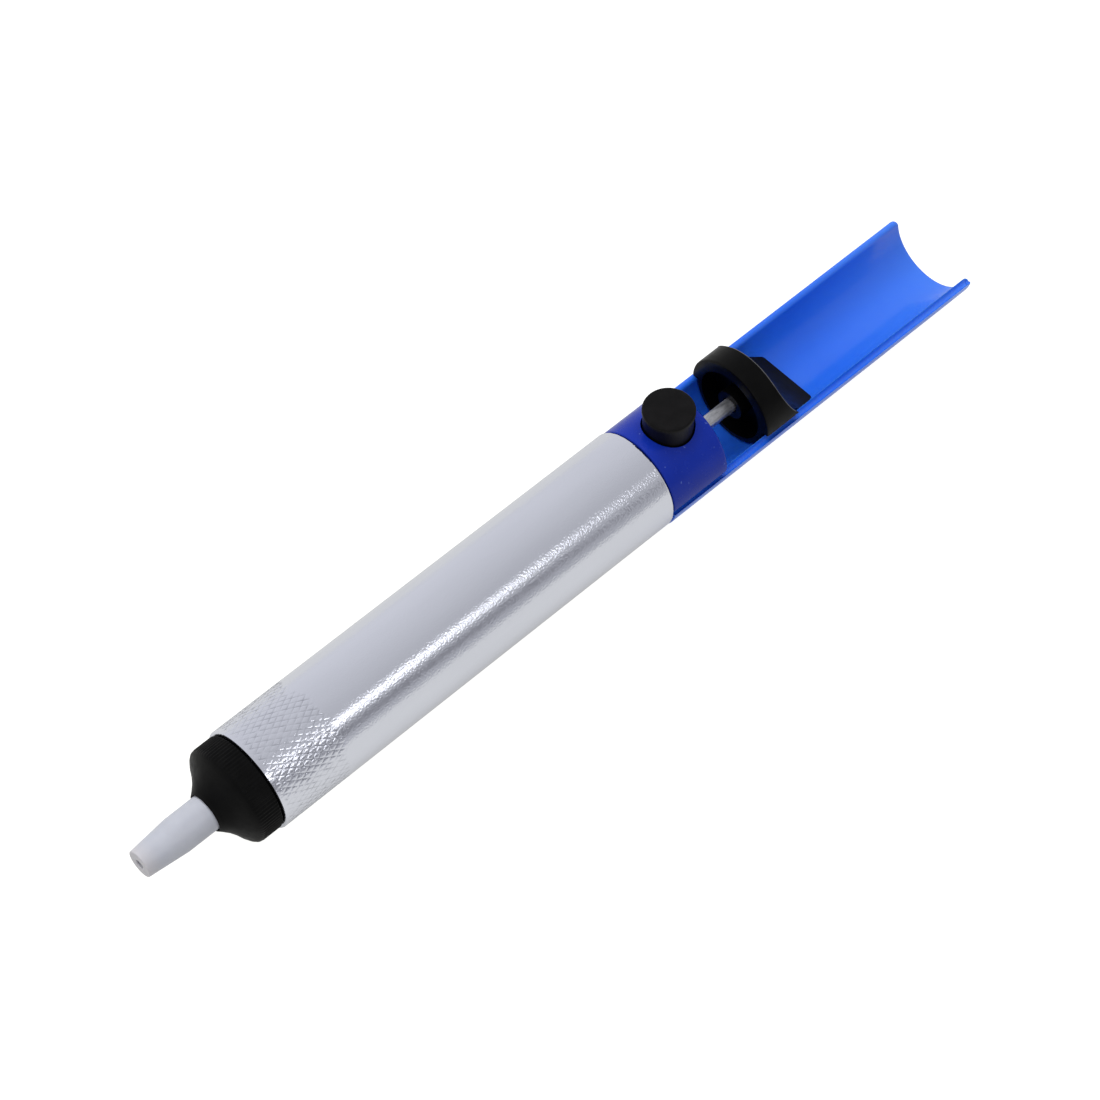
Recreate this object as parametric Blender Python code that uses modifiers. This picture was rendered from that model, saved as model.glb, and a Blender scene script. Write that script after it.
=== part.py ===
"""Desoldering pump, modelled as separate parts.

The pump lies on a bench with its release button up. +X runs from the nozzle to the thumb guard,
+Z is up, and the origin is under the middle of the pump, at bench height. The plunger is stored
cocked: pushed in and held by the latch.

Sizes are in millimetres. Along the pump they are counted from the barrel's front rim, and across
it from the barrel's axis.
"""
import bmesh
import bpy
from math import cos, pi, sin, sqrt
from mathutils import Vector

MM = 0.001
GAP = 0.3                   # between parts that touch or slide on each other
FACETS = 40                 # round the large parts
SMALL_FACETS = 24           # round the small ones

# ---- Driving sizes ------------------------------------------------------------------------------
BARREL_LENGTH = 90.8
BARREL_R = 10.0
BARREL_WALL = 0.8
RIM_CHAMFER = 0.25
CHAMFER = 0.4               # on plugs and pistons, so that they enter their bores

NOZZLE_R = 3.42
NOZZLE_LENGTH = 14.2        # in front of the nose cone
NOZZLE_TIP_R = 2.66
NOZZLE_BORE_R = 1.9
NOZZLE_TIP_BORE_R = 0.9

NOSE_RIM_LENGTH = 3.9
NOSE_CONE_LENGTH = 5.0
NOSE_SPIGOT_LENGTH = 12.0

COLLAR_LENGTH = 13.45
COLLAR_SPIGOT_LENGTH = 11.4
GUARD_OVERHANG = 2.6        # guard left behind the knob when the plunger is out
GUARD_WALL = 1.5
GUARD_EDGE_R = 0.7
GUARD_CORNER_R = 1.4

ROD_R = 1.35
STROKE = 36.0
PISTON_LENGTH = 8.0
WASHER_WIDTH = 0.6
BUMPER_WIDTH = 1.5
SPRING_TURNS = 10
SPRING_WIRE_R = 0.5

BUTTON_R = 4.82
BUTTON_RISE = 13.87         # top of the cap above the barrel's axis
BUTTON_CAP = 1.0
BUTTON_TRAVEL = 2.0
BUTTON_SETBACK = 7.44       # button centre behind the collar's front face

KNOB_R = 9.65
KNOB_STANDOFF = 10.15       # cocked knob behind the collar's rear face
KNOB_RIM = 4.6              # width of the knob's rim at its top
KNOB_LENGTH = 15.5          # down to the rear end of its shoe
SHOE_DROP = 5.5             # the shoe's rear lip below the axis

# ---- Sizes that follow from them ----------------------------------------------------------------
BORE_R = BARREL_R - BARREL_WALL
SPIGOT_R = BORE_R - GAP
COLLAR_R = BARREL_R - 0.2
NOSE_RIM_R = BARREL_R - 0.45
GUARD_R = BARREL_R + 0.15
GUARD_INNER_R = GUARD_R - GUARD_WALL
GUARD_TOP = -0.4            # the guard's two edges, just under the axis
RING_R = 0.85               # section of each sealing ring
RING_MID_R = BORE_R - GAP + 0.05 - RING_R
GROOVE_R = RING_MID_R - RING_R - GAP
GROOVE_HALF = RING_R + GAP

NOZZLE_TIP_X = -GAP - NOSE_RIM_LENGTH - NOSE_CONE_LENGTH - NOZZLE_LENGTH
COLLAR_X = BARREL_LENGTH + GAP
COLLAR_END_X = COLLAR_X + COLLAR_LENGTH
COLLAR_FRONT_X = BARREL_LENGTH - COLLAR_SPIGOT_LENGTH
BUTTON_X = COLLAR_X + BUTTON_SETBACK
KNOB_X = COLLAR_END_X + KNOB_STANDOFF
KNOB_TOP_END_X = KNOB_X + KNOB_RIM
SHOE_END_X = KNOB_X + KNOB_LENGTH
GUARD_END_X = SHOE_END_X + STROKE + GUARD_OVERHANG

SEAT_X = NOSE_SPIGOT_LENGTH + 2 * GAP
SEAT_WIDTH = 1.0
SEAT_DEPTH = 4.4            # the seat's step inwards, under the spring's end
SPRING_X = SEAT_X + SEAT_WIDTH + GAP
BUMPER_END_X = COLLAR_FRONT_X - GAP
PISTON_END_X = BUMPER_END_X - BUMPER_WIDTH - GAP - STROKE
PISTON_X = PISTON_END_X - PISTON_LENGTH
WASHER_X = PISTON_X - GAP - WASHER_WIDTH
SPRING_LENGTH = WASHER_X - GAP - SPRING_X
ROD_FRONT_X = WASHER_X - 2.2
ROD_END_X = KNOB_X + 5.4

AXIS_Z = GUARD_R * cos(pi / FACETS)         # the guard rests on the flat of its lowest facet
MIDDLE_X = (NOZZLE_TIP_X + GUARD_END_X) / 2

# ---- Scene --------------------------------------------------------------------------------------
for leftover in list(bpy.data.objects):
    bpy.data.objects.remove(leftover, do_unlink=True)

pump = bpy.data.collections.new("desoldering_pump")
bpy.context.scene.collection.children.link(pump)
cutters = bpy.data.collections.new("cutters")
bpy.context.scene.collection.children.link(cutters)


def material(name, colour, roughness, metallic=0.0):
    """A plain Principled surface."""
    made = bpy.data.materials.new(name)
    made.use_nodes = True
    surface = made.node_tree.nodes["Principled BSDF"]
    surface.inputs["Base Color"].default_value = (*colour, 1.0)
    surface.inputs["Roughness"].default_value = roughness
    surface.inputs["Metallic"].default_value = metallic
    made.diffuse_color = (*colour, 1.0)
    return made


aluminium = material("satin_aluminium", (0.72, 0.73, 0.76), 0.32, 1.0)
black_plastic = material("black_plastic", (0.012, 0.012, 0.013), 0.45)
blue_plastic = material("blue_plastic", (0.01, 0.05, 0.62), 0.35)
ptfe = material("white_ptfe", (0.62, 0.65, 0.72), 0.42)
black_rubber = material("black_rubber", (0.02, 0.02, 0.02), 0.7)
steel = material("bright_steel", (0.62, 0.62, 0.63), 0.3, 1.0)
brass = material("brass", (0.72, 0.53, 0.2), 0.3, 1.0)
nylon = material("ivory_nylon", (0.75, 0.72, 0.62), 0.5)


def body_empty(name, x, parent=None):
    """An empty on the barrel's axis that carries the parts of one body."""
    empty = bpy.data.objects.new(name, None)
    empty.empty_display_size = 5 * MM
    if parent is None:
        empty.location = ((x - MIDDLE_X) * MM, 0, AXIS_Z * MM)
    else:
        empty.parent = parent
        empty.location = (x * MM, 0, 0)
    pump.objects.link(empty)
    return empty


frame_body = body_empty("pump_frame", 0)
nose_body = body_empty("nose_slide", 0, frame_body)
plunger_body = body_empty("plunger_slide", 0, frame_body)
button_body = body_empty("button_slide", BUTTON_X, frame_body)


def placed(name, mesh, parent, finish, modelled_in=pump):
    """Link a mesh under the empty of the body it belongs to."""
    thing = bpy.data.objects.new(name, mesh)
    thing.parent = parent
    if finish is not None:
        mesh.materials.append(finish)
    modelled_in.objects.link(thing)
    return thing


def profile_mesh(name, outline, axis, closed):
    """A wire outline of (along, radius) points, ordered so that the turned faces look outwards."""
    points = list(outline)
    area = 0.0
    for (a0, r0), (a1, r1) in zip(points, points[1:] + points[:1]):
        area += r0 * a1 - r1 * a0
    if area > 0:
        points.reverse()
    wire = bmesh.new()
    corners = []
    for along, radius in points:
        spot = (along, 0, -radius) if axis == "X" else (radius, 0, along)
        corners.append(wire.verts.new(Vector(spot) * MM))
    for first, second in zip(corners, corners[1:]):
        wire.edges.new((first, second))
    if closed:
        wire.edges.new((corners[-1], corners[0]))
    mesh = bpy.data.meshes.new(name)
    wire.to_mesh(mesh)
    wire.free()
    return mesh


def turned(name, outline, parent, finish, axis="X", steps=FACETS, closed=True, where=pump):
    """A part turned on the lathe: closed outlines make rings, open ones meet the axis."""
    part = placed(name, profile_mesh(name, outline, axis, closed), parent, finish, where)
    screw = part.modifiers.new("turning", "SCREW")
    screw.axis = axis
    screw.steps = steps
    screw.render_steps = steps
    screw.use_merge_vertices = True
    screw.merge_threshold = 0.00001
    screw.use_smooth_shade = True
    return part


def cutter_box(name, parent, low, high):
    """A box-shaped cutter between two corners."""
    block = bmesh.new()
    bmesh.ops.create_cube(block, size=1.0)
    size = Vector(high) - Vector(low)
    middle = (Vector(high) + Vector(low)) / 2
    bmesh.ops.scale(block, vec=size * MM, verts=block.verts)
    bmesh.ops.translate(block, vec=middle * MM, verts=block.verts)
    mesh = bpy.data.meshes.new(name)
    block.to_mesh(mesh)
    block.free()
    return as_cutter(placed(name, mesh, parent, None, cutters))


def as_cutter(tool):
    tool.hide_render = True
    tool.display_type = "WIRE"
    return tool


def cut(part, tool, operation="DIFFERENCE"):
    """Cut a part with a tool, or join it to one."""
    step = part.modifiers.new(tool.name, "BOOLEAN")
    step.operation = operation
    step.solver = "EXACT"
    step.object = tool
    return part


def extruded(name, outline, plane, low, high, parent, finish, where=pump):
    """A flat outline pushed out square to its plane: (x, z) points for XZ, (y, z) points for YZ."""
    slab = bmesh.new()
    corners = []
    for first, second in outline:
        spot = (first, low, second) if plane == "XZ" else (low, first, second)
        corners.append(slab.verts.new(Vector(spot) * MM))
    face = slab.faces.new(corners)
    grown = bmesh.ops.extrude_face_region(slab, geom=[face])
    push = (0, high - low, 0) if plane == "XZ" else (high - low, 0, 0)
    moved = [item for item in grown["geom"] if isinstance(item, bmesh.types.BMVert)]
    bmesh.ops.translate(slab, vec=Vector(push) * MM, verts=moved)
    bmesh.ops.recalc_face_normals(slab, faces=slab.faces)
    mesh = bpy.data.meshes.new(name)
    slab.to_mesh(mesh)
    slab.free()
    return placed(name, mesh, parent, finish, where)


def arc(radius, start, end, steps, centre=(0.0, 0.0)):
    """Points on an arc in the plane, from one angle to another, both ends included."""
    points = []
    for number in range(steps + 1):
        angle = start + (end - start) * number / steps
        points.append((centre[0] + radius * cos(angle), centre[1] + radius * sin(angle)))
    return points


def ring_section(middle_x, middle_r, section_r, steps=8):
    """The round section of a sealing ring, as (along, radius) points."""
    return arc(section_r, 0, 2 * pi * (steps - 1) / steps, steps - 1, (middle_x, middle_r))


def coil(name, start, length, mean_r, wire_r, turns, parent, finish, axis):
    """A compression spring with closed ends, wound round its axis."""
    points_per_turn = 10
    dead_turns = 1.0
    total = turns + 2 * dead_turns
    count = int(total * points_per_turn) + 1
    closed_rise = 2.1 * wire_r
    open_rise = length - 2 * wire_r - 2 * closed_rise
    curve = bpy.data.curves.new(name, "CURVE")
    curve.dimensions = "3D"
    curve.bevel_depth = wire_r * MM
    curve.bevel_resolution = 2
    curve.use_fill_caps = True
    path = curve.splines.new("POLY")
    path.points.add(count - 1)
    for number in range(count):
        turn = number / points_per_turn
        if turn < dead_turns:
            rise = closed_rise * turn / dead_turns
        elif turn > total - dead_turns:
            rise = closed_rise + open_rise + closed_rise * (turn - total + dead_turns) / dead_turns
        else:
            rise = closed_rise + open_rise * (turn - dead_turns) / turns
        angle = 2 * pi * turn
        along = start + wire_r + rise
        across = (mean_r * cos(angle), mean_r * sin(angle))
        spot = (along, *across) if axis == "X" else (*across, along)
        path.points[number].co = (*(Vector(spot) * MM), 1.0)
    wire = bpy.data.objects.new(name, curve)
    wire.parent = parent
    curve.materials.append(finish)
    pump.objects.link(wire)
    return wire


# ---- Barrel and what is fixed in it -------------------------------------------------------------
turned("barrel", [
    (BARREL_LENGTH, BARREL_R - RIM_CHAMFER),
    (BARREL_LENGTH - RIM_CHAMFER, BARREL_R),
    (RIM_CHAMFER, BARREL_R),
    (0, BARREL_R - RIM_CHAMFER),
    (0, BORE_R),
    (BARREL_LENGTH, BORE_R),
], frame_body, aluminium)

turned("spring_seat", [
    (SEAT_X + SEAT_WIDTH, SPIGOT_R),
    (SEAT_X, SPIGOT_R),
    (SEAT_X, SPIGOT_R - SEAT_DEPTH),
    (SEAT_X + SEAT_WIDTH, SPIGOT_R - SEAT_DEPTH),
], frame_body, steel, steps=SMALL_FACETS)

BUMPER_R = SPIGOT_R - 0.2
BUMPER_HOLE_R = ROD_R + 1.9
turned("bumper_washer", [
    (BUMPER_END_X, BUMPER_R),
    (BUMPER_END_X - BUMPER_WIDTH, BUMPER_R),
    (BUMPER_END_X - BUMPER_WIDTH, BUMPER_HOLE_R),
    (BUMPER_END_X, BUMPER_HOLE_R),
], frame_body, black_rubber, steps=SMALL_FACETS)

# ---- Nose: cone, nozzle and the rings that hold it ----------------------------------------------
NOSE_FRONT_X = -GAP - NOSE_RIM_LENGTH - NOSE_CONE_LENGTH
SHOULDER_X = -GAP - NOSE_RIM_LENGTH
NOZZLE_HOLE_R = NOZZLE_R + GAP
POCKET_R = NOZZLE_R + 2.8
POCKET_X = SHOULDER_X - 0.8
NOSE_RING_X = 7.2
CHAMBER_R = GROOVE_R - 1.2
RETAINER_END_X = -0.1


def cone_outline():
    """The cone's outside, from its rounded shoulder to the edge round the nozzle."""
    drop = NOSE_RIM_R - NOZZLE_R
    steps = [(0.8, 0.5), (1.4, 1.3), (2.2, 2.7), (3.2, 4.05), (4.3, 5.15)]
    scale = NOSE_CONE_LENGTH / 5.0
    points = [(SHOULDER_X - far * scale, NOSE_RIM_R - fall * drop / 6.07) for far, fall in steps]
    points.append((NOSE_FRONT_X, NOZZLE_HOLE_R + 0.15))
    return points


turned("nose_cone", [
    (NOSE_SPIGOT_LENGTH, SPIGOT_R - CHAMFER),
    (NOSE_SPIGOT_LENGTH - CHAMFER, SPIGOT_R),
    (NOSE_RING_X + GROOVE_HALF, SPIGOT_R),
    (NOSE_RING_X + GROOVE_HALF, GROOVE_R),
    (NOSE_RING_X - GROOVE_HALF, GROOVE_R),
    (NOSE_RING_X - GROOVE_HALF, SPIGOT_R),
    (-GAP, SPIGOT_R),
    (-GAP, NOSE_RIM_R),
    (SHOULDER_X, NOSE_RIM_R),
] + cone_outline() + [
    (NOSE_FRONT_X, NOZZLE_HOLE_R),
    (POCKET_X, NOZZLE_HOLE_R),
    (POCKET_X, POCKET_R),
    (RETAINER_END_X + GAP, POCKET_R),
    (RETAINER_END_X + GAP, CHAMBER_R),
    (NOSE_SPIGOT_LENGTH, CHAMBER_R),
], nose_body, black_plastic)

turned("nose_o_ring", ring_section(NOSE_RING_X, RING_MID_R, RING_R), nose_body, black_rubber,
       steps=SMALL_FACETS)

FLANGE_R = POCKET_R - GAP
FLANGE_X = POCKET_X + GAP
FLANGE_END_X = FLANGE_X + 1.5
TIP_LENGTH = 8.0            # tapered part of the nozzle
turned("nozzle", [
    (FLANGE_END_X, FLANGE_R),
    (FLANGE_X, FLANGE_R),
    (FLANGE_X, NOZZLE_R),
    (NOZZLE_TIP_X + TIP_LENGTH, NOZZLE_R),
    (NOZZLE_TIP_X + 0.15, NOZZLE_TIP_R),
    (NOZZLE_TIP_X, NOZZLE_TIP_R - 0.15),
    (NOZZLE_TIP_X, NOZZLE_TIP_BORE_R),
    (NOZZLE_TIP_X + 5.0, NOZZLE_TIP_BORE_R),
    (NOZZLE_TIP_X + 6.0, NOZZLE_BORE_R),
    (FLANGE_END_X, NOZZLE_BORE_R),
], nose_body, ptfe, steps=32)

SEAL_X = FLANGE_END_X + GAP
SEAL_END_X = SEAL_X + 0.8
SEAL_R = FLANGE_R - 0.2
SEAL_HOLE_R = NOZZLE_BORE_R + 0.8
turned("nozzle_seal", [
    (SEAL_END_X, SEAL_R),
    (SEAL_X, SEAL_R),
    (SEAL_X, SEAL_HOLE_R),
    (SEAL_END_X, SEAL_HOLE_R),
], nose_body, black_rubber, steps=SMALL_FACETS)

turned("nozzle_retainer", [
    (RETAINER_END_X, FLANGE_R),
    (SEAL_END_X + GAP, FLANGE_R),
    (SEAL_END_X + GAP, NOZZLE_BORE_R + 1.0),
    (RETAINER_END_X, NOZZLE_BORE_R + 2.2),
], nose_body, nylon, steps=SMALL_FACETS)

# ---- Plunger: rod, piston, cleaning pin and knob ------------------------------------------------
LATCH_NECK_R = 0.9
LATCH_NECK_HALF = 1.3
CLIP_WIDTH = 0.6
CLIP_X = PISTON_END_X + GAP
CLIP_NECK_R = 0.93
turned("piston_rod", [
    (ROD_END_X, 0),
    (ROD_END_X, ROD_R - 0.2),
    (ROD_END_X - 0.2, ROD_R),
    (BUTTON_X + LATCH_NECK_HALF + 0.3, ROD_R),
    (BUTTON_X + LATCH_NECK_HALF, LATCH_NECK_R),
    (BUTTON_X - LATCH_NECK_HALF, LATCH_NECK_R),
    (BUTTON_X - LATCH_NECK_HALF - 0.3, ROD_R),
    (CLIP_X + CLIP_WIDTH + GAP, ROD_R),
    (CLIP_X + CLIP_WIDTH + GAP, CLIP_NECK_R),
    (CLIP_X - GAP, CLIP_NECK_R),
    (CLIP_X - GAP, ROD_R),
    (ROD_FRONT_X, ROD_R),
    (ROD_FRONT_X, 0),
], plunger_body, steel, steps=SMALL_FACETS, closed=False)

PISTON_R = SPIGOT_R - 0.1
PISTON_RING_X = PISTON_X + PISTON_LENGTH / 2
turned("piston", [
    (PISTON_END_X, PISTON_R - CHAMFER),
    (PISTON_END_X - CHAMFER, PISTON_R),
    (PISTON_RING_X + GROOVE_HALF, PISTON_R),
    (PISTON_RING_X + GROOVE_HALF, GROOVE_R),
    (PISTON_RING_X - GROOVE_HALF, GROOVE_R),
    (PISTON_RING_X - GROOVE_HALF, PISTON_R),
    (PISTON_X + CHAMFER, PISTON_R),
    (PISTON_X, PISTON_R - CHAMFER),
    (PISTON_X, ROD_R + GAP),
    (PISTON_END_X, ROD_R + GAP),
], plunger_body, nylon)

turned("piston_o_ring", ring_section(PISTON_RING_X, RING_MID_R, RING_R),
       plunger_body, black_rubber, steps=SMALL_FACETS)

WASHER_R = SPIGOT_R - 1.0
turned("piston_washer", [
    (WASHER_X + WASHER_WIDTH, WASHER_R),
    (WASHER_X, WASHER_R),
    (WASHER_X, ROD_R + GAP),
    (WASHER_X + WASHER_WIDTH, ROD_R + GAP),
], plunger_body, steel, steps=SMALL_FACETS)

NUT_FLATS = 5.5
NUT_WIDTH = 1.8
NUT_CORNER_R = NUT_FLATS / sqrt(3)
turned("piston_nut", [
    (WASHER_X - GAP, NUT_CORNER_R),
    (WASHER_X - GAP - NUT_WIDTH, NUT_CORNER_R),
    (WASHER_X - GAP - NUT_WIDTH, ROD_R + GAP),
    (WASHER_X - GAP, ROD_R + GAP),
], plunger_body, steel, steps=6)

CLIP_R = ROD_R + 1.6
CLIP_HOLE_R = CLIP_NECK_R + 0.28
turned("rod_clip", [
    (CLIP_X + CLIP_WIDTH, CLIP_R),
    (CLIP_X, CLIP_R),
    (CLIP_X, CLIP_HOLE_R),
    (CLIP_X + CLIP_WIDTH, CLIP_HOLE_R),
], plunger_body, steel, steps=SMALL_FACETS)

PIN_R = 0.6
PIN_TIP_X = NOZZLE_TIP_X + 4.0
PIN_HEAD_X = ROD_FRONT_X - GAP
PIN_HEAD_LENGTH = 2.0
turned("cleaning_pin", [
    (PIN_HEAD_X, 0),
    (PIN_HEAD_X, ROD_R),
    (PIN_HEAD_X - PIN_HEAD_LENGTH, ROD_R),
    (PIN_HEAD_X - PIN_HEAD_LENGTH - 1.0, PIN_R),
    (PIN_TIP_X + 2 * PIN_R, PIN_R),
    (PIN_TIP_X, PIN_R * 0.5),
    (PIN_TIP_X, 0),
], plunger_body, steel, steps=12, closed=False)

SPRING_R = SPIGOT_R - 2.8
coil("main_spring", SPRING_X, SPRING_LENGTH, SPRING_R, SPRING_WIRE_R, SPRING_TURNS,
     frame_body, steel, "X")


SCOOP_EDGE = 1.2            # flat of the knob's rim above the thumb scoop
SCOOP_PULL = 5.4            # how far the scoop's line keeps its direction at each end


def scoop_curve(steps=10):
    """The thumb scoop's line in side view, from the knob's rim down to the shoe's rear lip."""
    top = (KNOB_TOP_END_X, KNOB_R - SCOOP_EDGE)
    lip = (SHOE_END_X, -SHOE_DROP)
    upper_pull = (KNOB_TOP_END_X, KNOB_R - SCOOP_EDGE - SCOOP_PULL)
    lower_pull = (SHOE_END_X - SCOOP_PULL - 1.0, -SHOE_DROP + SCOOP_PULL / 2)
    points = []
    for number in range(steps + 1):
        t = number / steps
        weights = ((1 - t) ** 3, 3 * t * (1 - t) ** 2, 3 * t * t * (1 - t), t ** 3)
        anchors = (top, upper_pull, lower_pull, lip)
        x = sum(w * a[0] for w, a in zip(weights, anchors))
        z = sum(w * a[1] for w, a in zip(weights, anchors))
        points.append((x, z))
    return points


SHOE_R = GUARD_INNER_R - GAP
KNOB_STEP = GUARD_TOP + GAP         # the wide upper half ends just above the guard's edges
CUP_DEPTH = 3.4
CUP_WALL = 1.4
HUB_R = 2.9
PAST = 2.0                  # how far a cutter runs past the surface that it cuts

knob = turned("knob", [
    (SHOE_END_X, 0),
    (SHOE_END_X, SHOE_R - CHAMFER),
    (SHOE_END_X - CHAMFER, SHOE_R),
    (KNOB_X + CHAMFER, SHOE_R),
    (KNOB_X, SHOE_R - CHAMFER),
    (KNOB_X, 0),
], plunger_body, black_plastic, closed=False)

upper_half = as_cutter(turned("knob_upper_half", [
    (SHOE_END_X + PAST, 0),
    (SHOE_END_X + PAST, KNOB_R),
    (KNOB_X + CHAMFER, KNOB_R),
    (KNOB_X, KNOB_R - CHAMFER),
    (KNOB_X, 0),
], plunger_body, None, closed=False, where=cutters))
cut(upper_half, cutter_box("knob_half_trim", plunger_body,
                           (KNOB_X - PAST, -2 * KNOB_R, -2 * KNOB_R),
                           (SHOE_END_X + 2 * PAST, 2 * KNOB_R, KNOB_STEP)))
cut(knob, upper_half, "UNION")

scoop_outline = scoop_curve() + [
    (SHOE_END_X + 2 * PAST, -SHOE_DROP),
    (SHOE_END_X + 2 * PAST, KNOB_R + PAST),
    (KNOB_TOP_END_X, KNOB_R + PAST),
]
scoop = as_cutter(extruded("thumb_scoop", scoop_outline, "XZ", -KNOB_R - PAST, KNOB_R + PAST,
                           plunger_body, None, cutters))
cut(knob, scoop)

cup = as_cutter(turned("knob_cup", [
    (KNOB_X + CUP_DEPTH, HUB_R),
    (KNOB_X + CUP_DEPTH, SHOE_R - CUP_WALL),
    (KNOB_X + CHAMFER, SHOE_R - CUP_WALL + 0.1),
    (KNOB_X - PAST, SHOE_R - CUP_WALL + 0.1 + PAST / 2),
    (KNOB_X - PAST, HUB_R),
], plunger_body, None, where=cutters))
cut(knob, cup)

INSERT_R = 2.2
INSERT_LENGTH = 4.0
INSERT_X = ROD_END_X - INSERT_LENGTH
insert_pocket = as_cutter(turned("insert_pocket", [
    (ROD_END_X + GAP, 0),
    (ROD_END_X + GAP, INSERT_R + GAP),
    (INSERT_X - GAP, INSERT_R + GAP),
    (INSERT_X - GAP, ROD_R + GAP),
    (KNOB_X - PAST, ROD_R + GAP),
    (KNOB_X - PAST, 0),
], plunger_body, None, steps=SMALL_FACETS, closed=False, where=cutters))
cut(knob, insert_pocket)

RUNNING_GAP = 0.25          # round the rod in its brass parts
turned("knob_insert", [
    (ROD_END_X, INSERT_R),
    (INSERT_X, INSERT_R),
    (INSERT_X, ROD_R + RUNNING_GAP),
    (ROD_END_X, ROD_R + RUNNING_GAP),
], plunger_body, brass, steps=SMALL_FACETS)

# ---- Collar, its bush and ring ------------------------------------------------------------------
COLLAR_RING_X = BARREL_LENGTH - 5.0
BUSH_R = 3.0
BUSH_END_X = COLLAR_FRONT_X + 4.0
EDGE_R = 0.5

collar = turned("collar", [
    (COLLAR_END_X, 0),
    (COLLAR_END_X, SHOE_R - EDGE_R),
    (COLLAR_END_X - EDGE_R, SHOE_R),
    (BARREL_LENGTH, SHOE_R),
    (BARREL_LENGTH, SPIGOT_R),
    (COLLAR_RING_X + GROOVE_HALF, SPIGOT_R),
    (COLLAR_RING_X + GROOVE_HALF, GROOVE_R),
    (COLLAR_RING_X - GROOVE_HALF, GROOVE_R),
    (COLLAR_RING_X - GROOVE_HALF, SPIGOT_R),
    (COLLAR_FRONT_X + CHAMFER, SPIGOT_R),
    (COLLAR_FRONT_X, SPIGOT_R - CHAMFER),
    (COLLAR_FRONT_X, 0),
], frame_body, blue_plastic, closed=False)

collar_top = as_cutter(turned("collar_upper_half", [
    (COLLAR_END_X, 0),
    (COLLAR_END_X, COLLAR_R - EDGE_R),
    (COLLAR_END_X - 0.3 * EDGE_R, COLLAR_R - 0.3 * EDGE_R),
    (COLLAR_END_X - EDGE_R, COLLAR_R),
    (COLLAR_X, COLLAR_R),
    (COLLAR_X, 0),
], frame_body, None, closed=False, where=cutters))
cut(collar_top, cutter_box("collar_half_trim", frame_body,
                           (COLLAR_X - PAST, -2 * BARREL_R, -2 * BARREL_R),
                           (COLLAR_END_X + PAST, 2 * BARREL_R, GUARD_TOP + GAP)))
cut(collar, collar_top, "UNION")

BUTTON_SHAFT_R = BUTTON_R - 0.22
BUTTON_BORE_R = BUTTON_SHAFT_R + GAP
BUTTON_FLOOR = -SHOE_R + 1.0
button_bore = as_cutter(turned("button_bore", [
    (COLLAR_R + PAST, 0),
    (COLLAR_R + PAST, BUTTON_BORE_R),
    (BUTTON_FLOOR, BUTTON_BORE_R),
    (BUTTON_FLOOR, 0),
], button_body, None, axis="Z", steps=36, closed=False, where=cutters))
cut(collar, button_bore)

rod_way = as_cutter(turned("rod_way", [
    (COLLAR_END_X + PAST, 0),
    (COLLAR_END_X + PAST, ROD_R + GAP),
    (BUSH_END_X + GAP, ROD_R + GAP),
    (BUSH_END_X + GAP, BUSH_R + GAP),
    (COLLAR_FRONT_X - PAST, BUSH_R + GAP),
    (COLLAR_FRONT_X - PAST, 0),
], frame_body, None, steps=SMALL_FACETS, closed=False, where=cutters))
cut(collar, rod_way)

turned("rod_bush", [
    (BUSH_END_X, BUSH_R),
    (COLLAR_FRONT_X, BUSH_R),
    (COLLAR_FRONT_X, ROD_R + RUNNING_GAP),
    (BUSH_END_X, ROD_R + RUNNING_GAP),
], frame_body, brass, steps=SMALL_FACETS)

turned("collar_o_ring", ring_section(COLLAR_RING_X, RING_MID_R, RING_R), frame_body, black_rubber,
       steps=SMALL_FACETS)


# ---- Guard: a half-round trough -----------------------------------------------------------------
def half_round(outer_r, inner_r, top, edge_r):
    """A trough's section in (y, z): its lowest facet is flat and its two edges are rounded."""
    facet = 2 * pi / FACETS

    def wall(radius):
        lean = facet / 2
        side = []
        while -radius * cos(lean) < top - edge_r - 0.3:
            side.append((radius * sin(lean), -radius * cos(lean)))
            lean += facet
        return side

    def edge_points():
        outer_y = sqrt(outer_r ** 2 - (top - edge_r) ** 2)
        inner_y = sqrt(inner_r ** 2 - (top - edge_r) ** 2)
        outer = arc(edge_r, 0, pi / 2, 3, (outer_y - edge_r, top - edge_r))
        inner = arc(edge_r, pi / 2, pi, 3, (inner_y + edge_r, top - edge_r))
        return outer + inner

    half = wall(outer_r) + edge_points() + list(reversed(wall(inner_r)))
    return half + [(-y, z) for y, z in reversed(half)]


guard = extruded("guard", half_round(GUARD_R, GUARD_INNER_R, GUARD_TOP, GUARD_EDGE_R), "YZ",
                 COLLAR_X, GUARD_END_X, frame_body, blue_plastic)

CORNER_X = GUARD_END_X - GUARD_CORNER_R
corner = [(GUARD_END_X + PAST, GUARD_TOP + PAST), (CORNER_X, GUARD_TOP + PAST)]
corner += arc(GUARD_CORNER_R, pi / 2, 0, 6, (CORNER_X, GUARD_TOP - GUARD_CORNER_R))
corner += [(GUARD_END_X + PAST, GUARD_TOP - GUARD_CORNER_R)]
guard_corners = as_cutter(extruded("guard_corner_round", corner, "XZ", -GUARD_R - PAST,
                                   GUARD_R + PAST, frame_body, None, cutters))
cut(guard, guard_corners)

# ---- Release button, its latch plate and spring -------------------------------------------------
BUTTON_FOOT = -ROD_R - 1.92
PLATE_TOP = -ROD_R - 0.32
WINDOW_HALF = ROD_R + 0.6
WINDOW_TOP = ROD_R + BUTTON_TRAVEL + 2 * GAP
PLATE_HALF = 3.2
PLATE_THICK = 0.8
PLATE_FOOT = BUTTON_FOOT + 0.35
SLOT_GAP = 0.25             # round the latch plate in the button
CAP_ROUND = 0.3

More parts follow.
